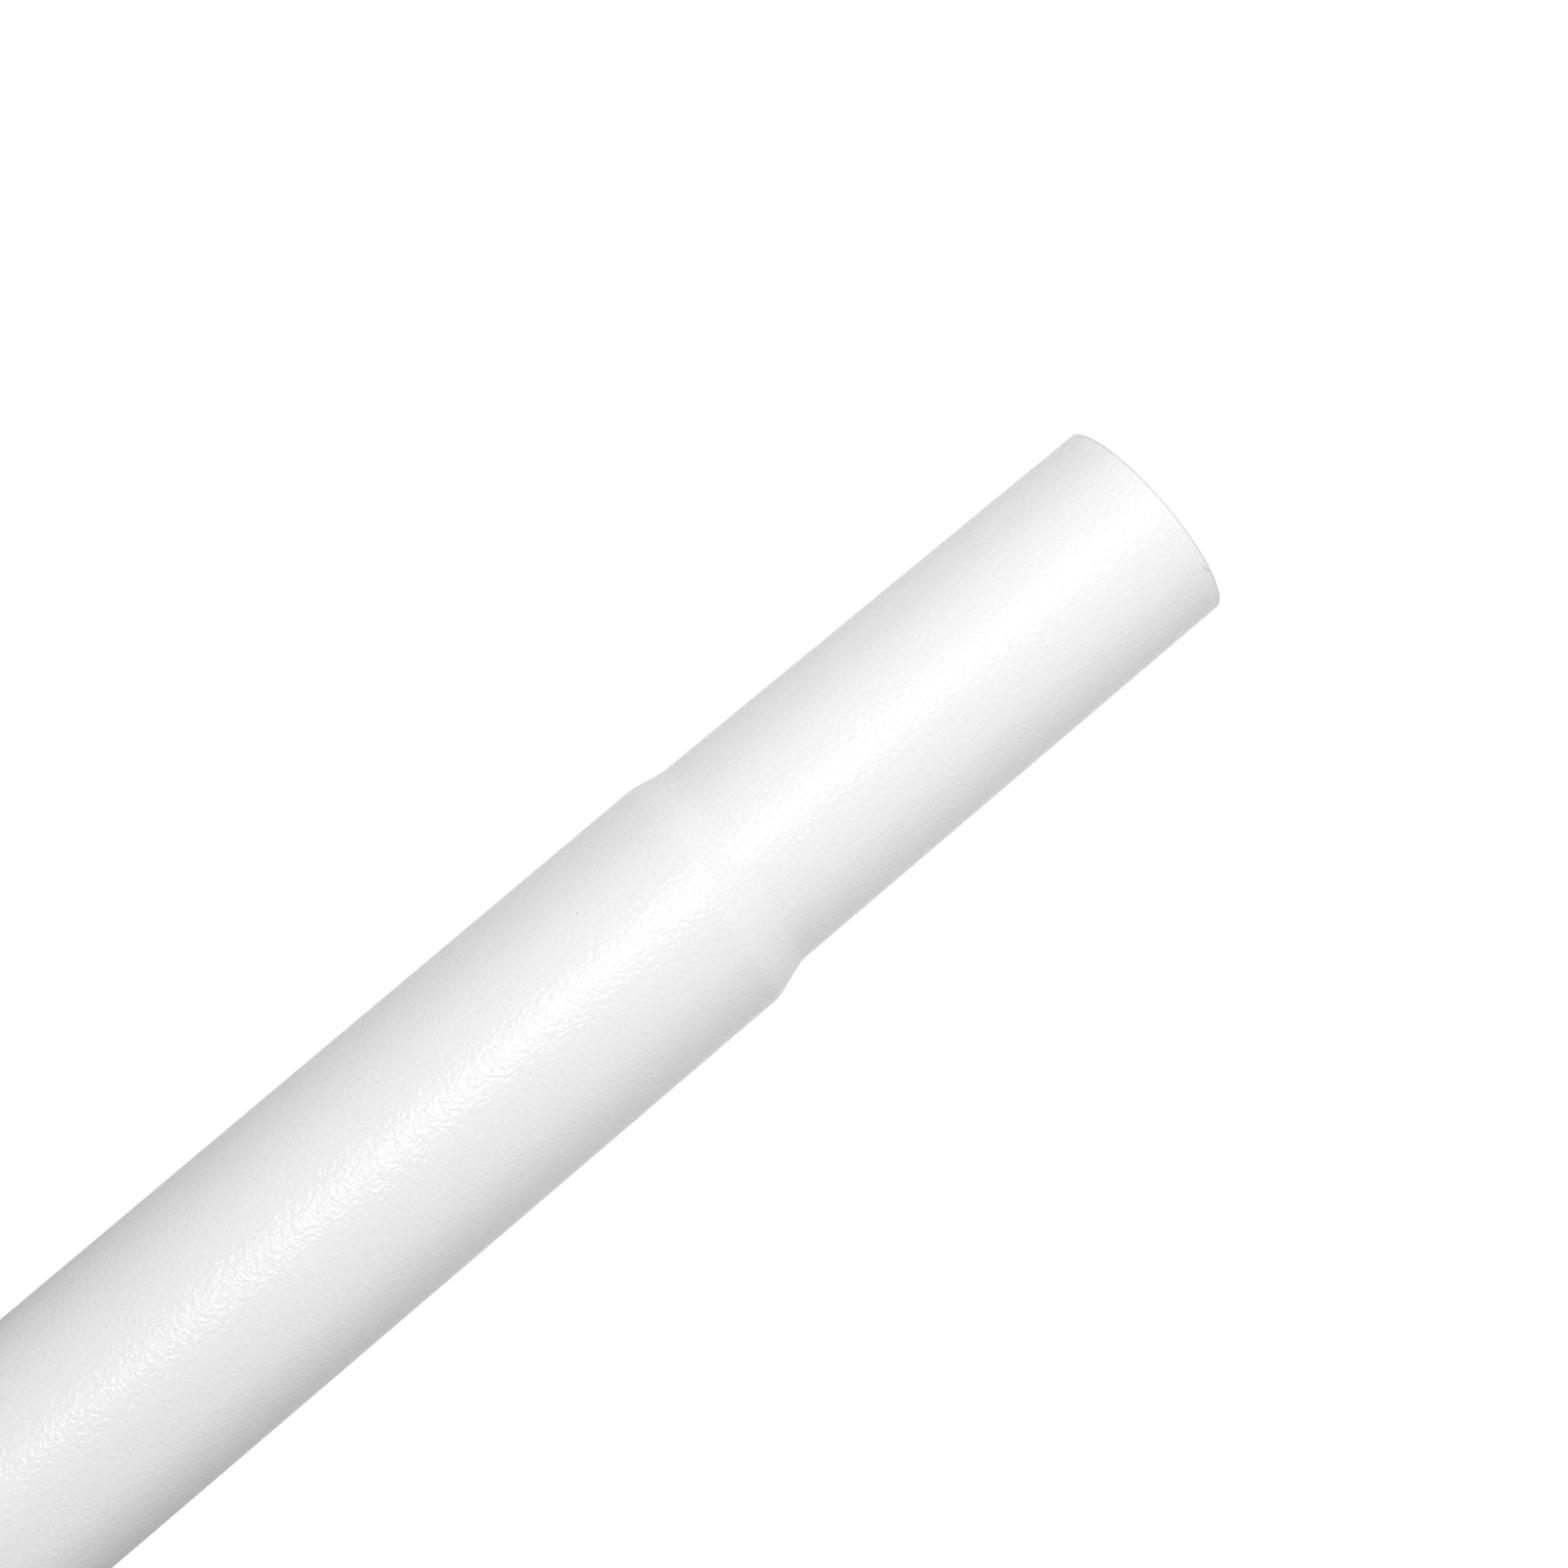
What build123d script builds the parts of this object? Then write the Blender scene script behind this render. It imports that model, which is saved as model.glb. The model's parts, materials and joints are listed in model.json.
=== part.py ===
"""A folding, height-adjustable white support cane, lying on its side.

Four equal tubes are swaged down at their lower end, and each end plugs into the mouth of the next tube.
An elastic cord runs inside them. The upper tube slides in the handle tube, held by a snap button in one of
a row of holes and by a screwed lock collar. The lowest tube's swaged end takes a rubber tip, which is off
the shaft and lies in line with it.

Frame: +X runs along the shaft towards the floor end, the handle lies flat in the XY plane, +Z is up. The
origin is the centre of the lowest tube's end face. All sizes are in millimetres.
"""

from build123d import *

import os

os.makedirs("parts", exist_ok=True)

# shaft tubes: 7/8 inch by 0.035 inch
TUBE_R = 11.1
WALL = 0.89
BORE_R = TUBE_R - WALL
BODY_LENGTH = 178.0
SHOULDER_LENGTH = 3.2
SHOULDER_RADIUS = 2.0
SPIGOT_LENGTH = 48.0
SPIGOT_R = 10.15
SPIGOT_BORE_R = SPIGOT_R - WALL
RIM_BREAK = 0.2
TUBE_COUNT = 4
SNUG = 0.01  # radial gap between pieces fixed to each other
RUNNING = 0.1  # radial gap between pieces that turn or slide on each other

# joints between the shaft tubes
RING_LIP = 1.5
RING_LENGTH = 13.0
RING_R = 12.5
SEAT_GAP = 0.3
JOINT_GAP = RING_LIP + SEAT_GAP
TUBE_PITCH = BODY_LENGTH + SHOULDER_LENGTH + JOINT_GAP

# handle tube: 1 inch by 0.057 inch, with a row of holes for the snap button
UPPER_R = 12.7
UPPER_BORE_R = 11.25
UPPER_LENGTH = 200.0
HOLE_R = 3.8
HOLE_PITCH = 16.0
HOLE_COUNT = 7
HOLE_FROM_MOUTH = 30.0
TUBE_INSIDE_UPPER = 108.0  # with the button in the middle hole
BUTTON_FROM_END = TUBE_INSIDE_UPPER - HOLE_FROM_MOUTH - HOLE_PITCH * (HOLE_COUNT - 1) / 2

# reflective tape on the last tube but one
BAND_LENGTH = 76.0
BAND_THICKNESS = 0.25
BAND_TO_SHOULDER = 14.0

# elastic cord and its anchors
CORD_R = 1.9
CORD_HOLE_R = 2.3
ANCHOR_LENGTH = 12.0
CRIMP_R = 4.0
CRIMP_LENGTH = 8.0
CORD_TAIL = 5.0
UPPER_ANCHOR_FROM_END = 78.0
LOWER_ANCHOR_TO_SHOULDER = 10.0

# rubber tip, off the shaft by TIP_TRAVEL
TIP_TRAVEL = 120.0
TIP_BORE_R = SPIGOT_R + 0.05
TIP_DEPTH = 46.0
TIP_NECK_R = 13.4
TIP_BASE_R = 17.0
TIP_SOLE = 12.0

# places along X, from the lowest tube's end face towards the handle
SPIGOT_START = [-SPIGOT_LENGTH - TUBE_PITCH * (TUBE_COUNT - k) for k in range(1, TUBE_COUNT + 1)]
MOUTH = [start - SHOULDER_LENGTH - BODY_LENGTH for start in SPIGOT_START]
UPPER_MOUTH = MOUTH[0] + TUBE_INSIDE_UPPER
UPPER_TOP = UPPER_MOUTH - UPPER_LENGTH
BUTTON_X = MOUTH[0] + BUTTON_FROM_END


def save(piece, label):
    """Names a finished piece and writes it."""
    piece.part.label = label
    export_step(piece.part, f"parts/{label}.step")


def turned(outline):
    """A solid of revolution about X from a closed outline of (x, radius) points."""
    with BuildPart() as piece:
        with BuildSketch(Plane.XY):
            with BuildLine():
                Polyline(*outline, close=True)
            make_face()
        revolve(axis=Axis.X)
    return piece


# ---------------------------------------------------------------- shaft tubes


def shaft_tube(number):
    """A tube with a plain mouth at one end and a swaged spigot at the other."""
    mouth = MOUTH[number - 1]
    shoulder = mouth + BODY_LENGTH
    spigot = shoulder + SHOULDER_LENGTH
    end = spigot + SPIGOT_LENGTH
    with BuildPart() as tube:
        with BuildSketch(Plane.XY):
            with BuildLine():
                FilletPolyline(
                    (mouth, TUBE_R), (shoulder, TUBE_R), (spigot, SPIGOT_R), (end - RIM_BREAK, SPIGOT_R),
                    radius=SHOULDER_RADIUS,
                )
                FilletPolyline(
                    (mouth, BORE_R), (shoulder, BORE_R), (spigot, SPIGOT_BORE_R), (end, SPIGOT_BORE_R),
                    radius=SHOULDER_RADIUS,
                )
                Line((mouth, BORE_R), (mouth, TUBE_R))
                Polyline((end - RIM_BREAK, SPIGOT_R), (end, SPIGOT_R - RIM_BREAK), (end, SPIGOT_BORE_R))
            make_face()
        revolve(axis=Axis.X)
        if number == 1:
            with BuildSketch(Plane.XZ):
                with Locations((BUTTON_X, 0)):
                    Circle(HOLE_R)
            extrude(amount=TUBE_R + 1, mode=Mode.SUBTRACT)
    save(tube, f"shaft_tube_{number}")


def socket_ring(number):
    """The plastic ring on a tube's mouth that the shoulder of the tube above beds against."""
    mouth = MOUTH[number - 1]
    top = mouth - RING_LIP
    bottom = top + RING_LENGTH
    lip_r = SPIGOT_R + SEAT_GAP
    ring = turned(
        [
            (top, lip_r + 0.8), (top, RING_R - 0.6), (top + 0.6, RING_R), (bottom - 2.5, RING_R),
            (bottom, TUBE_R + 0.5), (bottom, TUBE_R + SNUG), (mouth, TUBE_R + SNUG), (mouth, lip_r),
            (mouth - 0.6, lip_r),
        ]
    )
    save(ring, f"socket_ring_{number}")


def cord_guide(number):
    """The flanged plug in a spigot's end that keeps the cord off the metal rim."""
    end = SPIGOT_START[number - 1] + SPIGOT_LENGTH
    flange_r = SPIGOT_R - 0.25
    guide = turned(
        [
            (end - 10, CORD_HOLE_R), (end - 10, SPIGOT_BORE_R - 0.4), (end - 9, SPIGOT_BORE_R - SNUG),
            (end, SPIGOT_BORE_R - SNUG), (end, flange_r), (end + 1.0, flange_r), (end + 1.6, flange_r - 0.6),
            (end + 1.6, CORD_HOLE_R + 1.0), (end + 0.6, CORD_HOLE_R),
        ]
    )
    save(guide, f"cord_guide_{number}")


for tube_number in range(1, TUBE_COUNT + 1):
    shaft_tube(tube_number)
    if tube_number > 1:
        socket_ring(tube_number)
    if tube_number < TUBE_COUNT:
        cord_guide(tube_number)

BAND_END = SPIGOT_START[2] - SHOULDER_LENGTH - BAND_TO_SHOULDER

with BuildPart() as reflective_band:
    with BuildSketch(Plane.YZ.offset(BAND_END - BAND_LENGTH)):
        Circle(TUBE_R + SNUG + BAND_THICKNESS)
        Circle(TUBE_R + SNUG, mode=Mode.SUBTRACT)
    extrude(amount=BAND_LENGTH)
save(reflective_band, "reflective_band")

# ---------------------------------------------------------------- elastic cord

UPPER_ANCHOR = MOUTH[0] + UPPER_ANCHOR_FROM_END
LOWER_ANCHOR = SPIGOT_START[-1] - SHOULDER_LENGTH - LOWER_ANCHOR_TO_SHOULDER - ANCHOR_LENGTH


def cord_anchor(label, start, counterbore_at_start):
    """A plug bonded in a tube, with a hole for the cord and a dish for its crimp."""
    end = start + ANCHOR_LENGTH
    dish, plain = (start, end) if counterbore_at_start else (end, start)
    inward = 1 if counterbore_at_start else -1
    anchor = turned(
        [
            (dish, CRIMP_R + 0.6), (dish, BORE_R - SNUG - 0.5), (dish + 0.5 * inward, BORE_R - SNUG),
            (plain - 0.5 * inward, BORE_R - SNUG), (plain, BORE_R - SNUG - 0.5), (plain, CORD_HOLE_R),
            (dish + 2 * inward, CORD_HOLE_R), (dish + 2 * inward, CRIMP_R + 0.6),
        ]
    )
    save(anchor, label)


def crimp(label, start):
    """A swaged metal sleeve closed on the cord."""
    end = start + CRIMP_LENGTH
    middle = start + CRIMP_LENGTH / 2
    waist = CRIMP_R - 0.7
    sleeve = turned(
        [
            (start, CORD_R + SNUG), (start, CRIMP_R - 0.4), (start + 0.4, CRIMP_R), (middle - 1.4, CRIMP_R),
            (middle - 0.7, waist), (middle + 0.7, waist), (middle + 1.4, CRIMP_R), (end - 0.4, CRIMP_R),
            (end, CRIMP_R - 0.4), (end, CORD_R + SNUG),
        ]
    )
    save(sleeve, label)


UPPER_CRIMP = UPPER_ANCHOR + 2 - SNUG - CRIMP_LENGTH
LOWER_CRIMP = LOWER_ANCHOR + ANCHOR_LENGTH - 2 + SNUG
cord_anchor("upper_cord_anchor", UPPER_ANCHOR, True)
cord_anchor("lower_cord_anchor", LOWER_ANCHOR, False)
crimp("upper_cord_crimp", UPPER_CRIMP)
crimp("lower_cord_crimp", LOWER_CRIMP)

CORD_START = UPPER_CRIMP - CORD_TAIL
CORD_END = LOWER_CRIMP + CRIMP_LENGTH + CORD_TAIL

with BuildPart() as elastic_cord:
    with BuildSketch(Plane.YZ.offset(CORD_START)):
        Circle(CORD_R)
    extrude(amount=CORD_END - CORD_START)
save(elastic_cord, "elastic_cord")

# ---------------------------------------------------------------- snap button in the upper shaft tube

BUTTON_R = 3.5
BUTTON_TOP = 15.0
FLANGE_R = 4.3
FLANGE_OUTER = 9.15
FLANGE_INNER = 8.15
LEAF_THICKNESS = 0.6
LEAF_WIDTH = 8.0

with BuildPart() as snap_button:
    with BuildSketch(Plane.XZ.offset(FLANGE_INNER)):
        with Locations((BUTTON_X, 0)):
            Circle(FLANGE_R)
    extrude(amount=FLANGE_OUTER - FLANGE_INNER)
    with BuildSketch(Plane.XZ.offset(FLANGE_OUTER)):
        with Locations((BUTTON_X, 0)):
            Circle(BUTTON_R)
    extrude(amount=BUTTON_TOP - FLANGE_OUTER)
    fillet(snap_button.faces().sort_by(Axis.Y)[0].edges(), radius=1.8)
save(snap_button, "snap_button")

LEAF_Y = FLANGE_INNER - SNUG - LEAF_THICKNESS / 2
FAR_LEAF_Y = 8.95
BEND_R = 1.6
BEND_FROM_BUTTON = 33.0

with BuildPart() as snap_spring:
    with BuildSketch(Plane.XY):
        with BuildLine():
            near_leg = Polyline(
                (BUTTON_X - 6.0, -LEAF_Y), (BUTTON_X + 6.0, -LEAF_Y), (BUTTON_X + BEND_FROM_BUTTON, -BEND_R)
            )
            bend = TangentArc((BUTTON_X + BEND_FROM_BUTTON, -BEND_R), (BUTTON_X + BEND_FROM_BUTTON, BEND_R),
                              tangent=near_leg % 1)
            Line(bend @ 1, (BUTTON_X + 2.0, FAR_LEAF_Y))
        trace(line_width=LEAF_THICKNESS)
    extrude(amount=LEAF_WIDTH / 2, both=True)
save(snap_spring, "snap_spring")

top_plug = turned(
    [
        (MOUTH[0] - 3.0, 6.0), (MOUTH[0] - 3.0, TUBE_R - 0.6), (MOUTH[0] - 2.4, TUBE_R),
        (MOUTH[0] - SNUG, TUBE_R), (MOUTH[0] - SNUG, BORE_R - SNUG), (MOUTH[0] + 11.0, BORE_R - SNUG),
        (MOUTH[0] + 12.0, BORE_R - 0.8), (MOUTH[0] + 12.0, 6.0),
    ]
)
save(top_plug, "top_plug")

# ---------------------------------------------------------------- handle tube and lock collar

SLEEVE_R = 14.3
SLEEVE_LENGTH = 18.0
NUT_R = 16.4
NUT_BORE_R = SLEEVE_R + RUNNING
NUT_START = UPPER_MOUTH - 10.0
NUT_END = UPPER_MOUTH + 14.0
NUT_RIBS = 24
BUSH_R = 13.6
BUSH_START = UPPER_MOUTH + 0.4
BUSH_LENGTH = 9.0
PIN_R = 1.6
PIN_X = UPPER_TOP + 7.0
SLIT_WIDTH = 1.2
SLIT_COUNT = 6

with BuildPart() as handle_tube:
    with BuildSketch(Plane.YZ.offset(UPPER_TOP)):
        Circle(UPPER_R)
        Circle(UPPER_BORE_R, mode=Mode.SUBTRACT)
    extrude(amount=UPPER_LENGTH)
    with BuildSketch(Plane.XZ):
        with Locations(*[(UPPER_MOUTH - HOLE_FROM_MOUTH - HOLE_PITCH * k, 0) for k in range(HOLE_COUNT)]):
            Circle(HOLE_R)
    extrude(amount=UPPER_R + 1, mode=Mode.SUBTRACT)
    with BuildSketch(Plane.XY):
        with Locations((PIN_X, 0)):
            Circle(PIN_R + SNUG)
    extrude(amount=UPPER_R + 1, both=True, mode=Mode.SUBTRACT)
save(handle_tube, "handle_tube")

lock_sleeve = turned(
    [
        (UPPER_MOUTH - SLEEVE_LENGTH, UPPER_R + SNUG), (UPPER_MOUTH - SLEEVE_LENGTH, SLEEVE_R + 1.4),
        (UPPER_MOUTH - SLEEVE_LENGTH + 6.0, SLEEVE_R + 1.4), (UPPER_MOUTH - SLEEVE_LENGTH + 6.6, SLEEVE_R),
        (UPPER_MOUTH - 0.5, SLEEVE_R), (UPPER_MOUTH, SLEEVE_R - 0.5), (UPPER_MOUTH, UPPER_R + SNUG),
    ]
)
save(lock_sleeve, "lock_sleeve")

with BuildPart() as lock_bush:
    with BuildSketch(Plane.XY):
        with BuildLine():
            Polyline(
                (BUSH_START, TUBE_R + RUNNING), (BUSH_START, BUSH_R), (BUSH_START + 4.0, BUSH_R),
                (BUSH_START + BUSH_LENGTH, BUSH_R - 1.3), (BUSH_START + BUSH_LENGTH, TUBE_R + RUNNING),
                close=True,
            )
        make_face()
    revolve(axis=Axis.X)
    with BuildSketch(Plane.YZ.offset(BUSH_START + 2.5)):
        with PolarLocations(TUBE_R + 1.5, SLIT_COUNT):
            Rectangle(8.0, SLIT_WIDTH)
    extrude(amount=BUSH_LENGTH, mode=Mode.SUBTRACT)
save(lock_bush, "lock_bush")

with BuildPart() as lock_nut:
    with BuildSketch(Plane.XY):
        with BuildLine():
            Polyline(
                (NUT_START, NUT_BORE_R), (NUT_START, NUT_R - 0.8), (NUT_START + 0.8, NUT_R),
                (NUT_END - 3.0, NUT_R), (NUT_END, NUT_R - 3.0), (NUT_END, TUBE_R + 0.3),
                (NUT_END - 2.6, TUBE_R + 0.3),
                (NUT_END - 4.0, BUSH_R - 1.0), (BUSH_START + 4.0, BUSH_R + 0.2), (BUSH_START, NUT_BORE_R),
                close=True,
            )
        make_face()
    revolve(axis=Axis.X)
    with BuildSketch(Plane.YZ.offset(NUT_START + 1.6)):
        with PolarLocations(NUT_R + 0.35, NUT_RIBS):
            Circle(1.0)
    extrude(amount=NUT_END - NUT_START - 6.0, mode=Mode.SUBTRACT)
save(lock_nut, "lock_nut")

# ---------------------------------------------------------------- handle

NECK_END = UPPER_TOP + 14.0
NECK_R = 14.8
PLUG_DEPTH = 34.0
STEM_R = 7.0
STEM_LENGTH = 20.0
EYELET_R = 3.6
EYELET_BORE_R = 2.6
EYELET_AT = (UPPER_TOP - 15.0, -25.0)
EYELET_HALF = 13.2

# the handle's bar, from its nose to its tail: y, centre's height over the tube, half height, half thickness
BAR_STATIONS = [
    (-43.0, 4.0, 3.5, 4.5),
    (-41.0, 5.5, 7.0, 8.5),
    (-33.0, 11.0, 11.0, 12.5),
    (-18.0, 18.0, 14.5, 14.5),
    (2.0, 23.0, 15.5, 15.6),
    (26.0, 25.5, 13.5, 16.6),
    (50.0, 25.0, 12.0, 16.2),
    (68.0, 22.0, 12.0, 14.2),
    (79.0, 19.0, 8.5, 9.5),
    (81.5, 18.3, 4.0, 4.8),
]

with BuildPart() as handle_grip:
    for along, height, half_height, half_thickness in BAR_STATIONS:
        station = Plane(origin=(UPPER_TOP - height, along, 0), x_dir=(1, 0, 0), z_dir=(0, 1, 0))
        with BuildSketch(station):
            Ellipse(half_height, half_thickness)
    loft()
    with BuildSketch(Plane.YZ.offset(NECK_END)):
        Circle(NECK_R)
    with BuildSketch(Plane.YZ.offset(UPPER_TOP - 2.0)):
        Ellipse(15.6, 14.6)
    with BuildSketch(Plane.YZ.offset(UPPER_TOP - 14.0)):
        Ellipse(19.5, 14.2)
    loft()
    fillet(handle_grip.faces().sort_by(Axis.X)[-1].edges(), radius=1.0)
    with BuildSketch(Plane.YZ.offset(NECK_END)):
        Circle(UPPER_R + SNUG)
    extrude(amount=UPPER_TOP - NECK_END - SNUG, mode=Mode.SUBTRACT)
    with BuildSketch(Plane.YZ.offset(UPPER_TOP)):
        Circle(STEM_R + SNUG)
    extrude(amount=-STEM_LENGTH - SNUG, mode=Mode.SUBTRACT)
    with BuildSketch(Plane.XY):
        with Locations((PIN_X, 0)):
            Circle(PIN_R + SNUG)
        with Locations(EYELET_AT):
            Circle(EYELET_R + SNUG)
    extrude(amount=TIP_BASE_R, both=True, mode=Mode.SUBTRACT)
save(handle_grip, "handle_grip")

with BuildPart() as handle_plug:
    with BuildSketch(Plane.YZ.offset(UPPER_TOP + SNUG)):
        Circle(UPPER_BORE_R - SNUG)
    extrude(amount=PLUG_DEPTH)
    chamfer(handle_plug.faces().sort_by(Axis.X)[-1].edges(), length=1.0)
    with BuildSketch(Plane.YZ.offset(UPPER_TOP + SNUG)):
        Circle(STEM_R)
    extrude(amount=-STEM_LENGTH)
    with BuildSketch(Plane.XY):
        with Locations((PIN_X, 0)):
            Circle(PIN_R + SNUG)
    extrude(amount=UPPER_R, both=True, mode=Mode.SUBTRACT)
save(handle_plug, "handle_plug")

with BuildPart() as handle_pin:
    with BuildSketch(Plane.XY.offset(-NECK_R + 0.8)):
        with Locations((PIN_X, 0)):
            Circle(PIN_R)
    extrude(amount=2 * (NECK_R - 0.8))
    chamfer(handle_pin.edges().filter_by(GeomType.CIRCLE), length=0.3)
save(handle_pin, "handle_pin")

with BuildPart() as strap_eyelet:
    with BuildSketch(Plane.XY.offset(-EYELET_HALF)):
        with Locations(EYELET_AT):
            Circle(EYELET_R)
            Circle(EYELET_BORE_R, mode=Mode.SUBTRACT)
    extrude(amount=2 * EYELET_HALF)
    chamfer(strap_eyelet.edges().filter_by(GeomType.CIRCLE), length=0.3)
save(strap_eyelet, "strap_eyelet")

trim_ring = turned(
    [
        (NECK_END + SNUG, UPPER_R + SNUG), (NECK_END + SNUG, NECK_R - 1.0), (NECK_END + 0.6, NECK_R - 0.4),
        (NECK_END + 4.6, NECK_R - 0.4), (NECK_END + 5.6, NECK_R - 1.4), (NECK_END + 5.6, UPPER_R + SNUG),
    ]
)
save(trim_ring, "trim_ring")

# ---------------------------------------------------------------- rubber tip

WASHER_THICKNESS = 1.5
TIP_FLOOR = TIP_TRAVEL + SEAT_GAP + WASHER_THICKNESS  # bottom of the tip's bore
TIP_TOP = TIP_FLOOR - WASHER_THICKNESS - TIP_DEPTH
TIP_END = TIP_FLOOR + TIP_SOLE
TREAD_DEPTH = 1.6
TREAD_RINGS = (5.0, 9.0, 13.0)
POCKET_R = TIP_BORE_R + 0.6
RIB_COUNT = 5
RIB_PITCH = 3.6
RIB_HEIGHT = 0.7
RIBS_FROM_TOP = 8.0


def ribbed_neck():
    """Points along the outside of the tip's neck, from its top bead down over its ribs."""
    valley = TIP_NECK_R - RIB_HEIGHT
    points = [(TIP_TOP, TIP_BORE_R + 0.8), (TIP_TOP, TIP_NECK_R - 0.8), (TIP_TOP + 0.8, TIP_NECK_R)]
    points += [(TIP_TOP + 6.0, TIP_NECK_R), (TIP_TOP + 6.8, valley)]
    for k in range(RIB_COUNT):
        rib = TIP_TOP + RIBS_FROM_TOP + RIB_PITCH * k
        points += [(rib, valley), (rib + 0.6, TIP_NECK_R), (rib + 1.9, TIP_NECK_R), (rib + 2.5, valley)]
    return points


with BuildPart() as tip_rubber:
    with BuildSketch(Plane.XY):
        with BuildLine():
            Polyline(
                *ribbed_neck(),
                (TIP_TOP + RIBS_FROM_TOP + RIB_PITCH * RIB_COUNT + 0.6, TIP_NECK_R - RIB_HEIGHT),
                (TIP_END - 18.0, TIP_NECK_R + 0.4), (TIP_END - 7.0, TIP_BASE_R - 0.2),
                (TIP_END - 6.0, TIP_BASE_R), (TIP_END - 0.6, TIP_BASE_R), (TIP_END, TIP_BASE_R - 0.6),
                (TIP_END, 0), (TIP_FLOOR, 0),
                (TIP_FLOOR, POCKET_R), (TIP_FLOOR - WASHER_THICKNESS, POCKET_R),
                (TIP_FLOOR - WASHER_THICKNESS, TIP_BORE_R), (TIP_TOP + 0.8, TIP_BORE_R), close=True,
            )
        make_face()
    revolve(axis=Axis.X)
    with BuildSketch(Plane.YZ.offset(TIP_END)):
        for ring_r in TREAD_RINGS:
            Circle(ring_r + 0.8)
            Circle(ring_r - 0.8, mode=Mode.SUBTRACT)
    extrude(amount=-TREAD_DEPTH, mode=Mode.SUBTRACT)
save(tip_rubber, "tip_rubber")

tip_washer = turned(
    [
        (TIP_FLOOR - WASHER_THICKNESS + SNUG, 2.5), (TIP_FLOOR - WASHER_THICKNESS + SNUG, POCKET_R - SNUG),
        (TIP_FLOOR - SNUG, POCKET_R - SNUG), (TIP_FLOOR - SNUG, 2.5),
    ]
)
save(tip_washer, "tip_washer")
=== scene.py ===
"""Looks for the folding white cane: coated tubes, moulded handle and collar, rubber tip and elastic cord.

Everything is in metres in the row frame: +X runs along the shaft towards the floor end, the origin is the
centre of the lowest tube's end face, and +Z is up with the cane lying on its side. The outlines of turned
pieces and the handle's stations are in millimetres.
"""

import json
from math import cos, pi, radians, sin

import bmesh
import bpy
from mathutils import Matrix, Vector


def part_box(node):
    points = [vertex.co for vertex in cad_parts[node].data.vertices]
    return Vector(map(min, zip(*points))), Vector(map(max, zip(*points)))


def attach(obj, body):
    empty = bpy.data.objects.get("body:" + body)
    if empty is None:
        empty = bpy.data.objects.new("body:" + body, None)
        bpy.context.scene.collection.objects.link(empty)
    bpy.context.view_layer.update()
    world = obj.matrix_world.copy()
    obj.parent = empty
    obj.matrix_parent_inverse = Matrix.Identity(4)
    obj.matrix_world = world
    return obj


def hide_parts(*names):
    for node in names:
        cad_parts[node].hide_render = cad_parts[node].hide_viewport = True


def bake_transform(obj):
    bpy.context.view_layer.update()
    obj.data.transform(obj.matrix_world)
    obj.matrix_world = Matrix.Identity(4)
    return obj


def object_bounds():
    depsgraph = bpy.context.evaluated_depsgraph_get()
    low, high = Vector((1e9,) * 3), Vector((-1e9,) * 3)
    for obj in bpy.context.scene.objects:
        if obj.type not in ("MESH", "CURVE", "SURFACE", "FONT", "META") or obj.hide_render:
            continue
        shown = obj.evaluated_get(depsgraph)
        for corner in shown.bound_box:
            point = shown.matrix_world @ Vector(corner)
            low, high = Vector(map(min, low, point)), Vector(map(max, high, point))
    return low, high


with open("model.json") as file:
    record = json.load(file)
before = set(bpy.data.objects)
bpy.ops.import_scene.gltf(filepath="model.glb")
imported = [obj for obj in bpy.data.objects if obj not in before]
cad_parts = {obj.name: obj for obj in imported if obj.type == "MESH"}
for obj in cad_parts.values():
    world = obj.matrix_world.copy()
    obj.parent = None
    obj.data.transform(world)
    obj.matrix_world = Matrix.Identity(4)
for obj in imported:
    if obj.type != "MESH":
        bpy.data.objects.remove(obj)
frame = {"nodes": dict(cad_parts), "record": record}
CAD_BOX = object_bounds()
NODES = frame["nodes"]
MM = 0.001

# ------------------------------------------------------------------ camera

CAMERA_PLACE = (-0.074601, -0.037743, 0.296141)
CAMERA_AIM = (0.11598, 0.13500, -0.98403)
SENSOR = 36.0
LENS = 78.75
NEAREST, FURTHEST = 0.01, 50.0

camera_data = bpy.data.cameras.new("camera")
camera_data.sensor_width = SENSOR
camera_data.lens = LENS
camera_data.clip_start = NEAREST
camera_data.clip_end = FURTHEST
camera = bpy.data.objects.new("camera", camera_data)
camera.location = CAMERA_PLACE
camera.rotation_mode = "QUATERNION"
camera.rotation_quaternion = Vector(CAMERA_AIM).to_track_quat("-Z", "Y")
bpy.context.scene.collection.objects.link(camera)
bpy.context.scene.camera = camera
bpy.context.scene.view_settings.view_transform = "Standard"
bpy.context.scene.view_settings.look = "None"


# ------------------------------------------------------------------ materials


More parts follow.
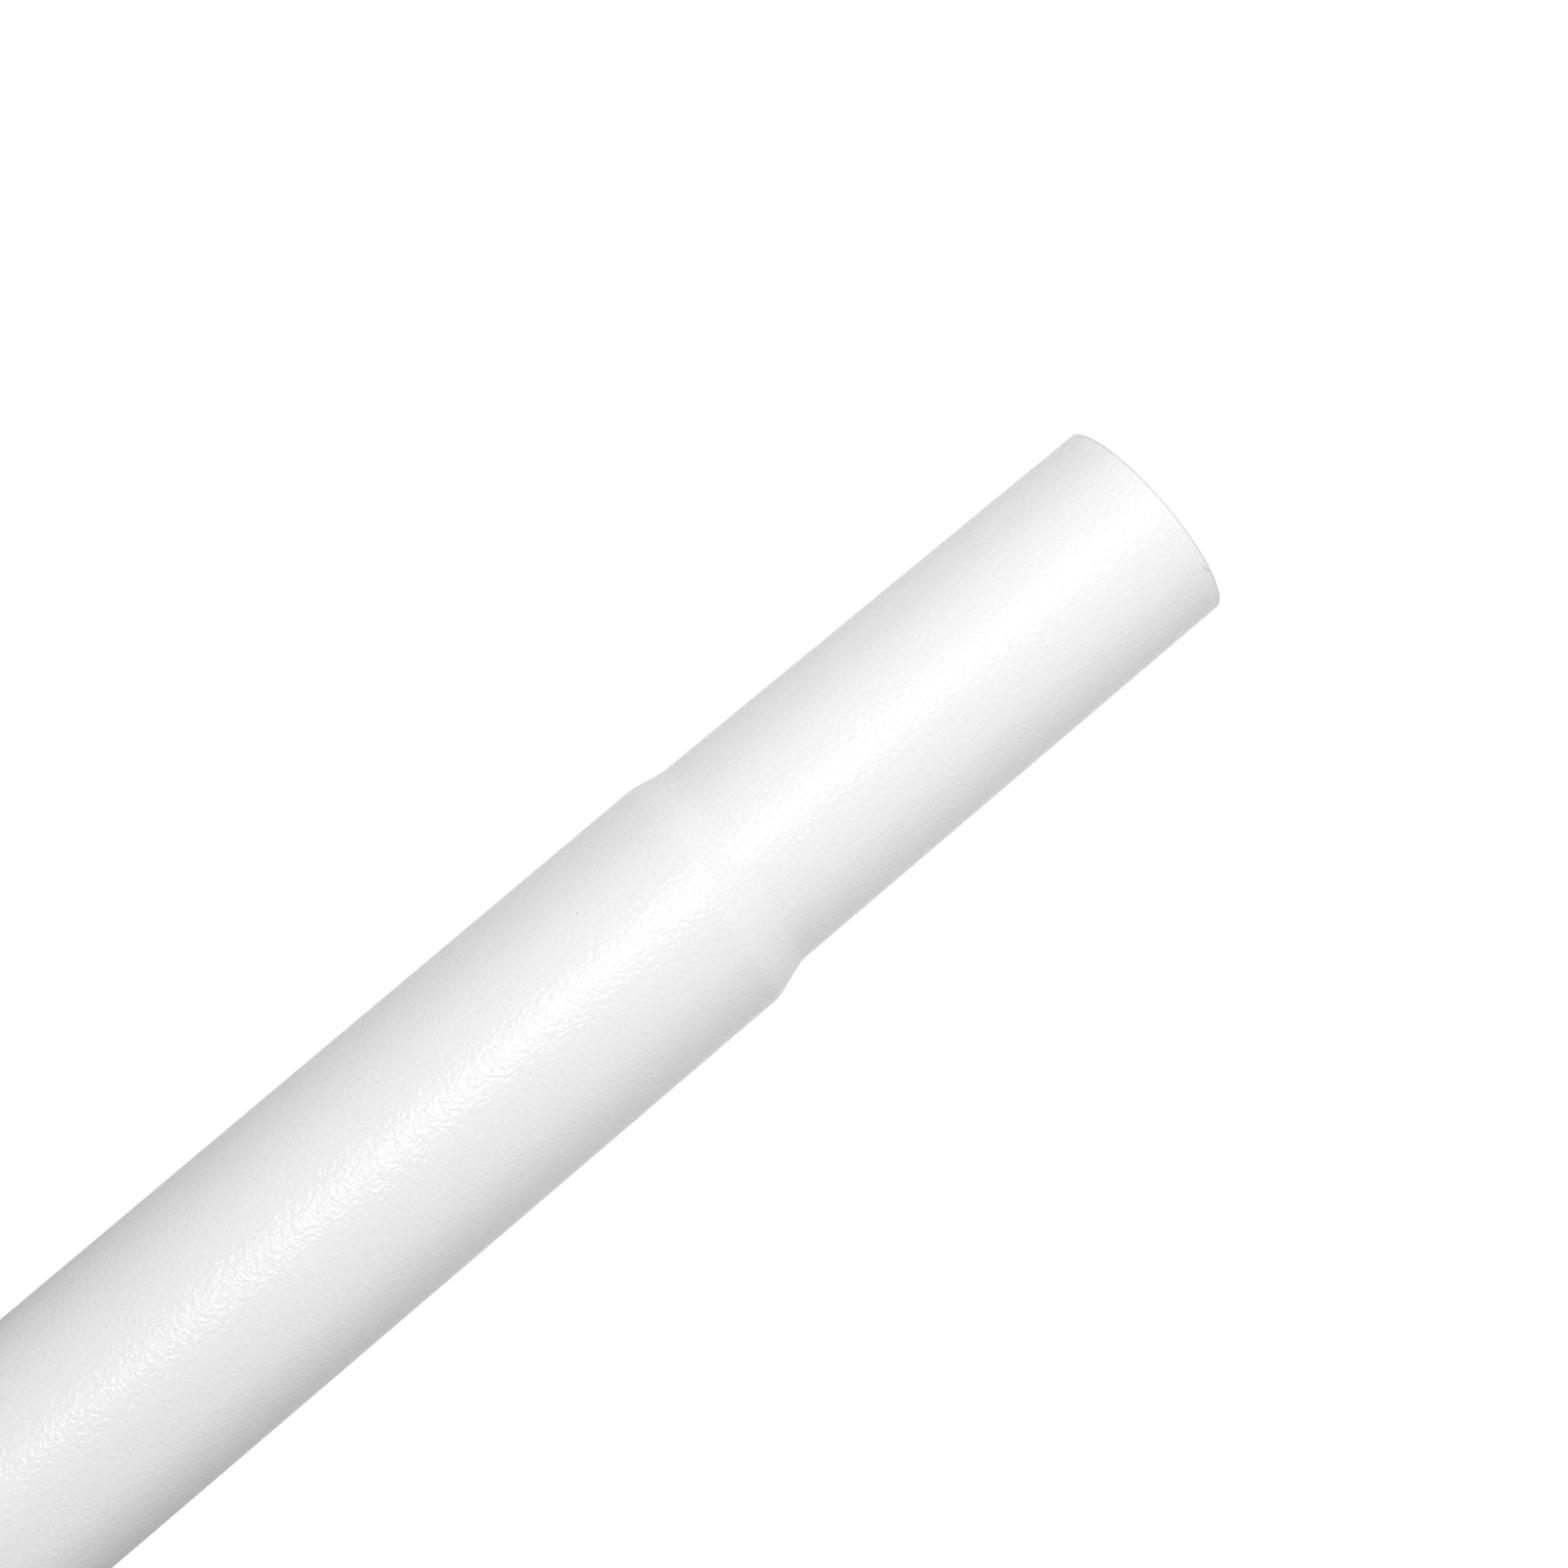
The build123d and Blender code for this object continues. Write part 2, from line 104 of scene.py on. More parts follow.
class Shader:
    """Short ways to build one node material."""

    def __init__(self, name):
        self.material = bpy.data.materials.new(name)
        self.material.use_nodes = True
        self.nodes = self.material.node_tree.nodes
        self.links = self.material.node_tree.links
        self.bsdf = self.nodes["Principled BSDF"]
        self.place = self.nodes.new("ShaderNodeTexCoord").outputs["Object"]

    def set(self, **values):
        """Constants on the shader's own sockets, by their names with _ for spaces."""
        for key, value in values.items():
            self.bsdf.inputs[key.replace("_", " ")].default_value = value

    def node(self, kind, inputs=None, **settings):
        made = self.nodes.new(kind)
        for key, value in settings.items():
            setattr(made, key, value)
        for key, value in (inputs or {}).items():
            if isinstance(value, bpy.types.NodeSocket):
                self.links.new(value, made.inputs[key])
            else:
                made.inputs[key].default_value = value
        return made

    def math(self, operation, *values):
        return self.node("ShaderNodeMath", dict(enumerate(values)), operation=operation).outputs[0]

    def stretched(self, source, by):
        return self.node("ShaderNodeVectorMath", {0: source, 1: by}, operation="MULTIPLY").outputs[0]

    def distance(self, start, end):
        return self.node("ShaderNodeVectorMath", {0: start, 1: end}, operation="DISTANCE").outputs["Value"]

    def axes(self):
        """The X, Y and Z of the place on the object."""
        return self.node("ShaderNodeSeparateXYZ", {0: self.place}).outputs

    def noise(self, scale, detail=2.0, roughness=0.5, stretch=None):
        source = self.place if stretch is None else self.stretched(self.place, stretch)
        return self.node(
            "ShaderNodeTexNoise",
            {"Vector": source, "Scale": scale, "Detail": detail, "Roughness": roughness},
        ).outputs["Fac"]

    def spread(self, value, low, high, out_low, out_high):
        return self.node(
            "ShaderNodeMapRange",
            {"Value": value, "From Min": low, "From Max": high, "To Min": out_low, "To Max": out_high},
        ).outputs["Result"]

    def mix(self, share, a, b):
        made = self.node("ShaderNodeMix", data_type="RGBA")
        factor = made.inputs[0]
        first, second = made.inputs[6], made.inputs[7]
        for socket, value in ((factor, share), (first, a), (second, b)):
            if isinstance(value, bpy.types.NodeSocket):
                self.links.new(value, socket)
            else:
                socket.default_value = value
        return made.outputs[2]

    def bump(self, height, distance, strength=1.0, under=None):
        inputs = {"Height": height, "Distance": distance, "Strength": strength}
        if under is not None:
            inputs["Normal"] = under
        return self.node("ShaderNodeBump", inputs).outputs["Normal"]

    def wire(self, **sockets):
        for key, value in sockets.items():
            self.links.new(value, self.bsdf.inputs[key.replace("_", " ")])


def grey(level, warmth=0.0):
    return (level * (1 + warmth), level, level * (1 - warmth), 1.0)


PEEL_SCALE, GRAIN_SCALE = 2300.0, 4600.0
PEEL_DEPTH, GRAIN_DEPTH = 0.00005, 0.000012  # in the white
GLOSS_PEEL_DEPTH, GLOSS_GRAIN_DEPTH = 0.00009, 0.000018  # in the gloss over it
CLOUD_SCALE = 60.0
CLOUD_WHITES = (0.68, 0.72)
GRAIN_WHITE = 0.745
SPECK_SCALE = 110.0
SPECK_FULL, SPECK_EDGE = 0.007, 0.014
SPECK_TONE = 0.45
PAINTED_EDGE_SHADE = 0.50  # painted shade along the cut edge and in the nick
RIM_SHADE_FROM, RIM_SHADE_FULL = -0.00016, -0.00006  # along X, beside the cut edge, where the painted shade of the rounded rim starts and is full
DRAWN_FROM, DRAWN_FULL = -0.045, -0.010  # along X, where the draw marks grow
DRAW_SCALE, DRAW_DEPTH = 3400.0, 0.00002
# A small nick beside the cut edge, drawn only as a painted dark arc of shade.
NICK_CENTRE = Vector((0.00009, -0.00735, 0.00675))
NICK_R = 0.00050
NICK_LINE = 0.00005  # half the line's width
NICK_FLATTENING = 0.2
NICK_END_FROM, NICK_END = 0.00010, 0.00020  # along Y from the centre, where the nick fades out


def nick(s, across):
    """How much of the nick's painted shade, a short dark arc, shows at each place; across is the place's Y.
    """
    flatten = Vector((1.0, 1.0, NICK_FLATTENING))
    away = s.distance(s.stretched(s.place, flatten), NICK_CENTRE * flatten)
    arc = s.math("COMPARE", away, NICK_R, NICK_LINE)
    half = s.spread(across, NICK_CENTRE.y + NICK_END_FROM, NICK_CENTRE.y + NICK_END, 1.0, 0.0)
    return s.math("MULTIPLY", arc, half)


def white_coat(name, bare_end=False):
    """White powder coat: a fine orange peel, faint unevenness in tone and gloss, a few dust specks. The bare
    end has faint draw marks along it, a line of painted shade along the cut edge, and a small nick beside it
    painted as a dark arc of shade."""
    s = Shader(name)
    s.set(Specular_IOR_Level=0.1, Coat_Weight=1.0, Roughness=0.4)
    peel = s.noise(PEEL_SCALE, 1.0, 0.5)
    grain = s.noise(GRAIN_SCALE, 2.0, 0.6)
    normal = s.bump(grain, GRAIN_DEPTH, under=s.bump(peel, PEEL_DEPTH))
    gloss_normal = s.bump(grain, GLOSS_GRAIN_DEPTH, under=s.bump(peel, GLOSS_PEEL_DEPTH))
    cloud = s.noise(CLOUD_SCALE, 3.0, 0.5)
    tone = s.mix(cloud, *[grey(level) for level in CLOUD_WHITES])
    tone = s.mix(s.spread(grain, 0.3, 0.7, 0.0, 1.0), tone, grey(GRAIN_WHITE))
    cells = s.node("ShaderNodeTexVoronoi", {"Vector": s.place, "Scale": SPECK_SCALE, "Randomness": 1.0})
    speck = s.spread(cells.outputs["Distance"], SPECK_FULL, SPECK_EDGE, 1.0, 0.0)
    tone = s.mix(speck, tone, grey(SPECK_TONE))
    if bare_end:
        along, across, _ = s.axes()
        drawn = s.spread(along, DRAWN_FROM, DRAWN_FULL, 0.0, 1.0)
        streaks = s.noise(DRAW_SCALE, 2.0, 0.5, (0.02, 1.0, 1.0))
        normal = s.bump(s.math("MULTIPLY", streaks, drawn), DRAW_DEPTH, under=normal)
        # Painted shade: a grey line along the cut edge, where the rim rounds away from the light, and a dark
        # arc for the nick.
        tone = s.mix(s.spread(along, RIM_SHADE_FROM, RIM_SHADE_FULL, 0.0, 1.0), tone, grey(PAINTED_EDGE_SHADE))
        tone = s.mix(nick(s, across), tone, grey(PAINTED_EDGE_SHADE))
    s.wire(Base_Color=tone, Normal=normal, Coat_Normal=gloss_normal)
    s.wire(Coat_Roughness=s.spread(cloud, 0.0, 1.0, 0.10, 0.17))
    return s.material


SEAM_FULL, SEAM_EDGE, SEAM_HEIGHT = 0.0001, 0.0004, 0.00015


def moulded(name, level, roughness, peel_scale, peel_depth, warmth=0.0, seam=False):
    """Moulded plastic or rubber with a pebbled surface, slight rubbing marks and, if asked, a mould seam at
    z = 0."""
    s = Shader(name)
    pebble = s.node("ShaderNodeTexVoronoi", {"Vector": s.place, "Scale": peel_scale}, feature="SMOOTH_F1")
    fine = s.noise(peel_scale * 3, 3.0, 0.6)
    rub = s.noise(45.0, 5.0, 0.65)
    normal = s.bump(pebble.outputs["Distance"], peel_depth)
    normal = s.bump(fine, peel_depth * 0.25, under=normal)
    if seam:
        off = s.math("ABSOLUTE", s.axes()["Z"])
        normal = s.bump(s.spread(off, SEAM_FULL, SEAM_EDGE, 1.0, 0.0), SEAM_HEIGHT, under=normal)
    share = s.spread(rub, 0.35, 0.7, 0.0, 1.0)
    s.wire(
        Base_Color=s.mix(share, grey(level * 0.85, warmth), grey(level * 1.25, warmth)),
        Roughness=s.spread(rub, 0.3, 0.75, roughness + 0.06, roughness - 0.06),
        Normal=normal,
    )
    return s.material


def metal(name, level, roughness, stretch, warmth=0.0):
    """Bare metal with fine turning or drawing marks; stretch sets which way they run."""
    s = Shader(name)
    s.set(Metallic=1.0)
    marks = s.noise(900.0, 3.0, 0.6, stretch)
    cloud = s.noise(130.0, 4.0, 0.6)
    share = s.spread(cloud, 0.3, 0.7, 0.0, 1.0)
    s.wire(
        Base_Color=s.mix(share, grey(level * 0.86, warmth), grey(level, warmth)),
        Roughness=s.spread(marks, 0.3, 0.7, roughness - 0.07, roughness + 0.1),
        Normal=s.bump(marks, 0.000008),
    )
    return s.material


RED_DARK, RED_BRIGHT = (0.42, 0.008, 0.010, 1), (0.62, 0.020, 0.018, 1)
RED_WALL = (0.30, 0.006, 0.008, 1)
HONEYCOMB = 420.0


def red_tape():
    """Red reflective tape: a fine honeycomb under a clear film."""
    s = Shader("red_tape")
    s.set(Coat_Weight=0.6, Coat_Roughness=0.08, Specular_IOR_Level=0.5)
    cells = s.node("ShaderNodeTexVoronoi", {"Vector": s.place, "Scale": HONEYCOMB, "Randomness": 0.15},
                   feature="DISTANCE_TO_EDGE")
    wall = s.spread(cells.outputs["Distance"], 0.03, 0.09, 1.0, 0.0)
    sparkle = s.noise(2600.0, 1.0, 0.5)
    # The brighter red flecks where the sparkle noise is high are painted glints.
    red = s.mix(s.spread(sparkle, 0.35, 0.65, 0.0, 1.0), RED_DARK, RED_BRIGHT)
    s.wire(
        Base_Color=s.mix(wall, red, RED_WALL),
        Roughness=s.spread(sparkle, 0.3, 0.7, 0.24, 0.42),
        Normal=s.bump(wall, 0.00002),
    )
    return s.material


STRANDS = 6.0
STRAND_TURN = 3600.0  # radians of the weave's phase per metre of cord


def braid():
    """Braided textile round the elastic core."""
    s = Shader("cord_braid")
    s.set(Sheen_Weight=0.3, Sheen_Roughness=0.5, Roughness=0.85)
    along, across, up = s.axes()
    angle = s.math("ARCTAN2", across, up)
    strands = []
    for pitch in (STRAND_TURN, -STRAND_TURN):
        run = s.math("MULTIPLY", along, pitch)
        strands.append(s.math("SINE", s.math("MULTIPLY_ADD", angle, STRANDS, run)))
    weave = s.math("MAXIMUM", *strands)
    fibre = s.noise(5200.0, 2.0, 0.6, (0.35, 1.0, 1.0))
    # Darker between the strands and lighter on their crowns: painted shade in the braid's grooves.
    tone = s.mix(s.spread(weave, -0.2, 0.9, 0.0, 1.0), grey(0.36, 0.02), grey(0.74, 0.02))
    normal = s.bump(weave, 0.00025)
    s.wire(Base_Color=tone, Normal=s.bump(fibre, 0.00004, under=normal))
    return s.material


COAT = white_coat("white_coat")
BARE_END_COAT = white_coat("white_coat_bare_end", bare_end=True)
GRIP = moulded("grip_black", 0.030, 0.48, 900.0, 0.00010, seam=True)
COLLAR = moulded("collar_black", 0.034, 0.42, 1300.0, 0.00004)
NYLON = moulded("nylon", 0.62, 0.45, 1500.0, 0.00002, 0.03)
RUBBER = moulded("tip_rubber", 0.042, 0.62, 1500.0, 0.00008)
STEEL = metal("steel", 0.56, 0.34, (0.08, 1.0, 1.0))
NICKEL = metal("nickel", 0.72, 0.20, (1.0, 1.0, 0.1), 0.03)
RING_METAL = metal("ring_metal", 0.58, 0.26, (1.0, 0.1, 0.1))
TAPE = red_tape()
BRAID = braid()

CAD_MATERIALS = {
    "white_coat": COAT,
    "handle_black": GRIP,
    "collar_black": COLLAR,
    "inner_plastic": NYLON,
    "steel": STEEL,
    "nickel": NICKEL,
    "bright_ring": RING_METAL,
    "red_tape": TAPE,
    "cord": BRAID,
    "tip_grey": RUBBER,
}
for subpart in frame["record"]["subparts"]:
    mesh = NODES[subpart["node"]].data
    mesh.materials.clear()
    mesh.materials.append(CAD_MATERIALS[subpart["material_slot"]])


# ------------------------------------------------------------------ mesh helpers


def new_piece(name, vertices, faces, material, smooth=True):
    mesh = bpy.data.meshes.new(name)
    mesh.from_pydata(vertices, [], faces)
    mesh.validate()
    mesh.materials.append(material)
    for polygon in mesh.polygons:
        polygon.use_smooth = smooth
    piece = bpy.data.objects.new(name, mesh)
    bpy.context.scene.collection.objects.link(piece)
    return piece


def skinned_rings(rings, closed_along=True):
    """Vertices and faces of a surface through rings of points of equal count."""
    count = len(rings[0])
    vertices = [point for ring in rings for point in ring]
    faces = []
    pairs = len(rings) if closed_along else len(rings) - 1
    for i in range(pairs):
        a, b = i * count, (i + 1) % len(rings) * count
        for j in range(count):
            k = (j + 1) % count
            faces.append((a + j, a + k, b + k, b + j))
    return vertices, faces


def rounded(outline, radius, steps=6):
    """An outline of (x, r) points with its inner corners rounded by quadratic curves."""
    done = [outline[0]]
    for before, corner, after in zip(outline, outline[1:], outline[2:]):
        c = Vector(corner)
        ends = []
        for other in (before, after):
            leg = Vector(other) - c
            ends.append(c + leg.normalized() * min(radius, leg.length * 0.45))
        for i in range(steps + 1):
            t = i / steps
            done.append(tuple(ends[0] * (1 - t) ** 2 + c * 2 * t * (1 - t) + ends[1] * t * t))
    done.append(outline[-1])
    return done


def mark_sharp_turns(piece, limit=50.0):
    """Faces that meet at more than the limit, in degrees, don't share a normal."""
    mesh = bmesh.new()
    mesh.from_mesh(piece.data)
    bmesh.ops.recalc_face_normals(mesh, faces=mesh.faces)
    for edge in mesh.edges:
        if len(edge.link_faces) == 2 and edge.calc_face_angle(0.0) > radians(limit):
            edge.smooth = False
    mesh.to_mesh(piece.data)
    mesh.free()


# ------------------------------------------------------------------ lowest tube, with its bare swaged end

TUBE_LOW, TUBE_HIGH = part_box("shaft_tube_4")
BODY_R = TUBE_HIGH.z
WALL = 0.89 * MM
SWAGE_LENGTH = 48.0 * MM
SHOULDER = 3.2 * MM
NECK_R = 10.20 * MM  # just past the shoulder
RIM_R = 9.98 * MM  # at the bare end
RIM_BREAK = 0.03 * MM  # the cut edge's tiny bevel
RIM_TURN = 0.3  # where the bevel bends, as a share of it
BORE_EASE = 0.1 * MM  # the mouth is this much wider inside
BEND_ROUNDING = 0.7 * MM
BEND_LIMIT = 30.0  # degrees
GUARD = 2.0 * MM  # rings this close to a bend keep the long faces' shading straight
OFF_CENTRE = 0.30 * MM  # the swaged end leaves the shoulder this much off the body's axis, towards +Y
SHOULDER_SKEW = (1.0 * MM, 0.6 * MM)  # how far the shoulder's two edges lean along the axis
SKEW_FADE = 9.0 * MM
AROUND = 256


def tube_section(x, r, shift, skew):
    """One ring of the tube: its radius, its shift off centre and how far its +Y side leans along the axis."""
    ring = []
    for j in range(AROUND):
        a = 2 * pi * j / AROUND
        ring.append((x + skew * cos(a), r * cos(a) + shift, r * sin(a)))
    return ring


def lowest_tube():
    shoulder = -SWAGE_LENGTH - SHOULDER
    outer = rounded(
        [(TUBE_LOW.x, BODY_R), (shoulder - GUARD, BODY_R), (shoulder, BODY_R), (-SWAGE_LENGTH, NECK_R),
         (-SWAGE_LENGTH + GUARD, NECK_R), (-GUARD, RIM_R), (-RIM_BREAK, RIM_R)],
        BEND_ROUNDING,
    )
    outer += [(-RIM_TURN * RIM_BREAK, RIM_R - RIM_TURN * RIM_BREAK), (0.0, RIM_R - RIM_BREAK)]
    inner = rounded(
        [(0.0, RIM_R - WALL + BORE_EASE), (-SWAGE_LENGTH, NECK_R - WALL), (shoulder, BODY_R - WALL),
         (TUBE_LOW.x, BODY_R - WALL)],
        BEND_ROUNDING,
    )
    rings = []
    for x, r in outer + inner:
        share = min(max((x - shoulder) / SHOULDER, 0.0), 1.0)
        along = min(max(-x / SWAGE_LENGTH, 0.0), 1.0)
        shift = OFF_CENTRE * share * along
        beyond = max(shoulder - x, x + SWAGE_LENGTH, 0.0)
        skew = SHOULDER_SKEW[0] * (1 - share) + SHOULDER_SKEW[1] * share
        rings.append(tube_section(x, r, shift, skew * max(0.0, 1.0 - beyond / SKEW_FADE)))
    vertices, faces = skinned_rings(rings)
    piece = new_piece("lowest_tube", vertices, faces, BARE_END_COAT)
    mark_sharp_turns(piece, BEND_LIMIT)
    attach(piece, "shaft_4")
    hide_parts("shaft_tube_4")


lowest_tube()

# ------------------------------------------------------------------ turned pieces

# in millimetres
ON_SHAFT = 11.11  # bore radius of what sits on a shaft tube
ON_HANDLE_TUBE = 12.71  # bore radius of what sits on the handle tube
SAFE_GAP = 0.01  # between the tip's rubber and its washer


def turned_piece(name, node, body, material, outline, radius=0.3, around=96, wave=None):
    """A solid of revolution about X standing for a CAD node, its corners rounded. The closed outline is in
    (x, r) millimetres; wave(x, angle, r) is added to the radius, in millimetres."""
    closed = [outline[-1], *outline, outline[0]]
    soft = rounded([(x * MM, r * MM) for x, r in closed], radius * MM, 3)[1:-1]
    rings = []
    for x, r in soft:
        ring = []
        for j in range(around):
            a = 2 * pi * j / around
            reach = r + (wave(x / MM, a, r / MM) * MM if wave else 0.0)
            ring.append((x, reach * cos(a), reach * sin(a)))
        rings.append(ring)
    vertices, faces = skinned_rings(rings)
    piece = new_piece(name, vertices, faces, material)
    mark_sharp_turns(piece)
    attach(piece, body)
    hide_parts(node)


def span(node):
    """Where a CAD node starts and ends along X, in millimetres."""
    low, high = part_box(node)
    return low.x / MM, high.x / MM


def socket_ring(number):
    low = span(f"socket_ring_{number}")[0]
    mouth, end = low + 1.5, low + 13.0
    lip_r, ring_r, groove_r, stop_r = 11.9, 12.5, 12.25, 10.45
    turned_piece(
        f"mouth_ring_{number}", f"socket_ring_{number}", f"shaft_{number}", COLLAR,
        [(low, 11.25), (low, lip_r), (low + 0.6, ring_r), (low + 3.2, ring_r), (low + 3.5, groove_r),
         (low + 4.1, groove_r), (low + 4.4, ring_r), (end - 2.5, ring_r), (end, 11.6), (end, ON_SHAFT),
         (mouth, ON_SHAFT), (mouth, stop_r), (mouth - 0.6, stop_r)],
        0.25,
    )


def collar_nut():
    low, high = span("lock_nut")
    bush = span("lock_bush")[0]
    grip_from, grip_to = low + 1.6, high - 4.4
    nut_r, mouth_r, bore_r = 16.4, 11.4, 14.4
    rib_count, rib_depth, rib_sharpness, ribbed_beyond, grip_steps = 24, 0.55, 1.5, 15.5, 10

    def ribs(x, a, r):
        if r < ribbed_beyond or not grip_from < x < grip_to:
            return 0.0
        return -rib_depth * (0.5 - 0.5 * cos(rib_count * a)) ** rib_sharpness

    steps = [(grip_from + (grip_to - grip_from) * i / grip_steps, nut_r) for i in range(grip_steps + 1)]
    turned_piece(
        "collar_nut", "lock_nut", "lock_nut", COLLAR,
        [(low, bore_r), (low, 15.6), (low + 0.8, nut_r), (grip_from - 0.05, nut_r), *steps,
         (grip_to + 0.05, nut_r), (high - 3.0, nut_r), (high, 13.4), (high, mouth_r), (high - 2.6, mouth_r),
         (high - 4.0, 12.6), (bush + 4.0, 13.8), (bush, bore_r)],
        0.35, 288, ribs,
    )


def collar_sleeve():
    low, high = span("lock_sleeve")
    flange_r, crest_r, root_r, pitch = 15.7, 14.28, 13.75, 1.9
    threads = []
    x = low + 7.2
    while x < high - 1.6:
        threads += [(x, crest_r), (x + 0.5, crest_r), (x + 0.9, root_r), (x + 1.4, root_r)]
        x += pitch
    turned_piece(
        "collar_sleeve", "lock_sleeve", "handle", COLLAR,
        [(low, ON_HANDLE_TUBE), (low, 15.3), (low + 0.4, flange_r), (low + 5.6, flange_r), (low + 6.0, 15.3),
         (low + 6.0, 14.0), *threads, (high - 0.4, 14.1), (high, 13.7), (high, ON_HANDLE_TUBE)],
        0.2, 128,
    )


def handle_ring():
    low, high = span("trim_ring")
    ring_r, groove_r = 14.4, 14.1
    turned_piece(
        "handle_ring", "trim_ring", "handle", RING_METAL,
        [(low, ON_HANDLE_TUBE), (low, 13.8), (low + 0.6, ring_r), (low + 1.6, ring_r), (low + 1.9, groove_r),
         (low + 2.4, groove_r), (low + 2.7, ring_r), (low + 4.6, ring_r), (high, 13.4),
         (high, ON_HANDLE_TUBE)],
        0.2, 128,
    )


def crimp(label, body):
    low, high = span(f"{label}_cord_crimp")
    middle = (low + high) / 2
    bore_r, end_r, crimp_r, pinched_r = 1.92, 3.6, 4.0, 3.3
    turned_piece(
        f"{label}_crimp", f"{label}_cord_crimp", body, RING_METAL,
        [(low, bore_r), (low, end_r), (low + 0.4, crimp_r), (middle - 1.4, crimp_r),
         (middle - 0.7, pinched_r), (middle + 0.7, pinched_r), (middle + 1.4, crimp_r),
         (high - 0.4, crimp_r), (high, end_r), (high, bore_r)],
        0.3, 48,
    )


def tip_boot():
    """The rubber tip: rounded ribs on its neck, a flared foot, ringed tread and two faint mould lines."""
    top, end = span("tip_rubber")
    pocket, floor_x = span("tip_washer")
    pocket, floor_x = pocket - SAFE_GAP, floor_x + SAFE_GAP
    neck_r, rib_r, foot_r, pocket_r, bore_r, sole_r = 12.7, 13.4, 17.0, 10.8, 10.55, 0.02
    outline = [(top, 11.0), (top, 12.4), (top + 1.0, rib_r), (top + 5.4, rib_r), (top + 6.6, neck_r)]
    for k in range(5):
        rib = top + 8.0 + 3.6 * k
        outline += [(rib, neck_r), (rib + 0.7, rib_r), (rib + 1.8, rib_r), (rib + 2.5, neck_r)]
    outline += [(top + 26.6, neck_r), (end - 18.0, 13.8), (end - 8.5, 16.0), (end - 6.5, foot_r)]
    outline += [(end - 0.8, foot_r), (end, 16.2)]
    for ring in (13.0, 9.0, 5.0):
        outline += [(end, ring + 0.8), (end - 1.6, ring + 0.6), (end - 1.6, ring - 0.6), (end, ring - 0.8)]
    outline += [(end, sole_r), (floor_x, sole_r), (floor_x, pocket_r), (pocket, pocket_r), (pocket, bore_r)]
    outline += [(top + 0.9, bore_r)]
    line_height, line_half_width = 0.12, 0.35

    def mould_lines(x, a, r):
        if r < 12.5 or x > end - 0.5:
            return 0.0
        off = min(abs(a), abs(a - pi), abs(a - 2 * pi)) * r
        cut_back = line_height if r > 16.9 else 0.0  # the foot's own radius already fills the CAD box
        return line_height * max(0.0, 1 - off / line_half_width) - cut_back

    turned_piece("tip_boot", "tip_rubber", "tip", RUBBER, outline, 0.45, 360, mould_lines)


for ring_number in (2, 3, 4):
    socket_ring(ring_number)
collar_nut()
collar_sleeve()
handle_ring()
crimp("upper", "shaft_1")
crimp("lower", "shaft_4")
tip_boot()

# ------------------------------------------------------------------ snap button and its spring

BUTTON_R = 3.5 * MM
BUTTON_DOME = 2.0 * MM
DOME_FLATNESS = 0.6
FLANGE_R = 4.3 * MM
FLANGE = 1.0 * MM
LEAST_R = 1e-6


def circle(x, y, r, count):
    """Evenly spaced points on a circle round (x, y)."""
    return [(x + r * cos(2 * pi * j / count), y + r * sin(2 * pi * j / count)) for j in range(count)]


def snap_button():
    low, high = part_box("snap_button")
    x, top, base = (low.x + high.x) / 2, low.y, high.y
    outline = rounded(
        [(base, 0.0), (base, FLANGE_R), (base - 0.25 * MM, FLANGE_R), (base - FLANGE, FLANGE_R),
         (base - FLANGE, BUTTON_R), (top + BUTTON_DOME, BUTTON_R)],
        0.2 * MM, 3,
    )
    dome = 8
    for i in range(1, dome + 1):
        a = pi / 2 * i / dome
        outline.append((top + BUTTON_DOME * (1 - sin(a)), max(BUTTON_R * cos(a) ** DOME_FLATNESS, LEAST_R)))
    rings = []
    for y, r in outline:
        rings.append([(across, y, up) for across, up in circle(x, 0.0, r, 64)])
    vertices, faces = skinned_rings(rings, closed_along=False)
    piece = new_piece("button_cap", vertices, faces, NICKEL)
    mark_sharp_turns(piece)
    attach(piece, "button")
    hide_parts("snap_button")


def leaf_spring():
    """A steel strip bent to a V; its near leg lies flat under the button. All in millimetres until the
    vertices.
    """
    x = sum(span("snap_button")) / 2
    near, flat_half = 7.84, 6.0  # the flat under the button: off the shaft's axis, and half its length
    bend_x, bend_r, steps = 33.0, 1.6, 12  # the V's point, from the button
    far_x, far = 2.0, 8.95  # the far leg's end: from the button, and off the axis
    points = rounded([(x - flat_half, -near), (x + flat_half, -near), (x + bend_x + 0.4, -bend_r)], 4.0, 8)
    for i in range(steps + 1):
        a = pi * i / steps
        points.append((x + bend_x + bend_r * sin(a), -bend_r * cos(a)))
    for i in range(1, steps + 1):
        share = i / steps
        points.append((x + bend_x + (far_x - bend_x) * share, bend_r + (far - bend_r) * share))
    half_wide, half_thick = 4.0, 0.28
    vertices = []
    for i, p in enumerate(points):
        before, after = Vector(points[max(i - 1, 0)]), Vector(points[min(i + 1, len(points) - 1)])
        along = (after - before).normalized()
        side = Vector((-along.y, along.x)) * half_thick
        for sign, z in ((1, -half_wide), (1, half_wide), (-1, half_wide), (-1, -half_wide)):
            vertices.append(((p[0] + sign * side.x) * MM, (p[1] + sign * side.y) * MM, z * MM))
    faces = []
    for i in range(len(points) - 1):
        for j in range(4):
            k = (j + 1) % 4
            faces.append((4 * i + j, 4 * i + k, 4 * i + 4 + k, 4 * i + 4 + j))
    last = 4 * (len(points) - 1)
    faces += [(0, 3, 2, 1), (last, last + 1, last + 2, last + 3)]
    piece = new_piece("leaf_spring", vertices, faces, STEEL)
    mark_sharp_turns(piece, 35.0)
    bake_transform(piece)
    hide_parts("snap_spring")


snap_button()
leaf_spring()

# ------------------------------------------------------------------ elastic cord

CORD_R = 1.9 * MM
CORD_SLACK = 0.985  # the drawn cord is this much of it, clear of what it passes through
CORD_STEP = 2.0 * MM


